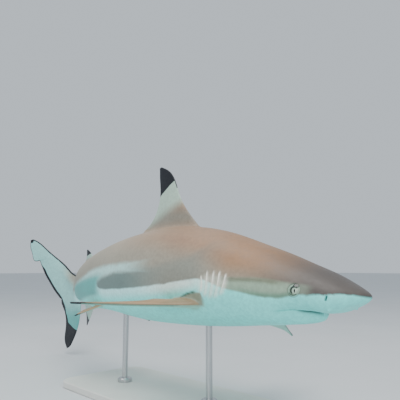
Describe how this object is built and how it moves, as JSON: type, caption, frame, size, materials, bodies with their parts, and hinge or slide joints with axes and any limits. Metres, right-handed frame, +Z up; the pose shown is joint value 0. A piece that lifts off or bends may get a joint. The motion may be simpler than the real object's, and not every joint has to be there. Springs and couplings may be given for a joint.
{
  "type": "blacktip reef shark",
  "caption": "Still, life-size blacktip reef shark in a swimming pose with its tail curved aside, carried over a flat display base by short rods.",
  "frame": {"origin": "centre of the stand base's underside, below the middle of the trunk", "axes": "+X the way the trunk heads, +Y the shark's left side, +Z up"},
  "size_m": [1.167, 0.4987, 0.4699],
  "materials": {
    "skin": "smooth satin shark skin: brown back, grey flank band, white belly, black fin tips",
    "eye": "glossy, pale green-grey iris with a narrow dark upright pupil",
    "stand_base": "fine matt off-white paint",
    "stand_rod": "brushed along its length"
  },
  "bodies": {
    "root": {"head": "skin", "lower_jaw": "skin", "eye_right": "eye", "eye_left": "eye", "trunk_front": "skin", "trunk_rear": "skin", "tail_front": "skin", "tail_stalk": "skin", "first_dorsal_fin": "skin", "second_dorsal_fin": "skin", "anal_fin": "skin", "pectoral_fin_right": "skin", "pectoral_fin_left": "skin", "pelvic_fin_right": "skin", "pelvic_fin_left": "skin", "caudal_fin_upper_lobe": "skin", "caudal_fin_lower_lobe": "skin", "stand_base": "stand_base", "stand_rod_front": "stand_rod", "stand_rod_rear": "stand_rod"}
  },
  "joints": []
}
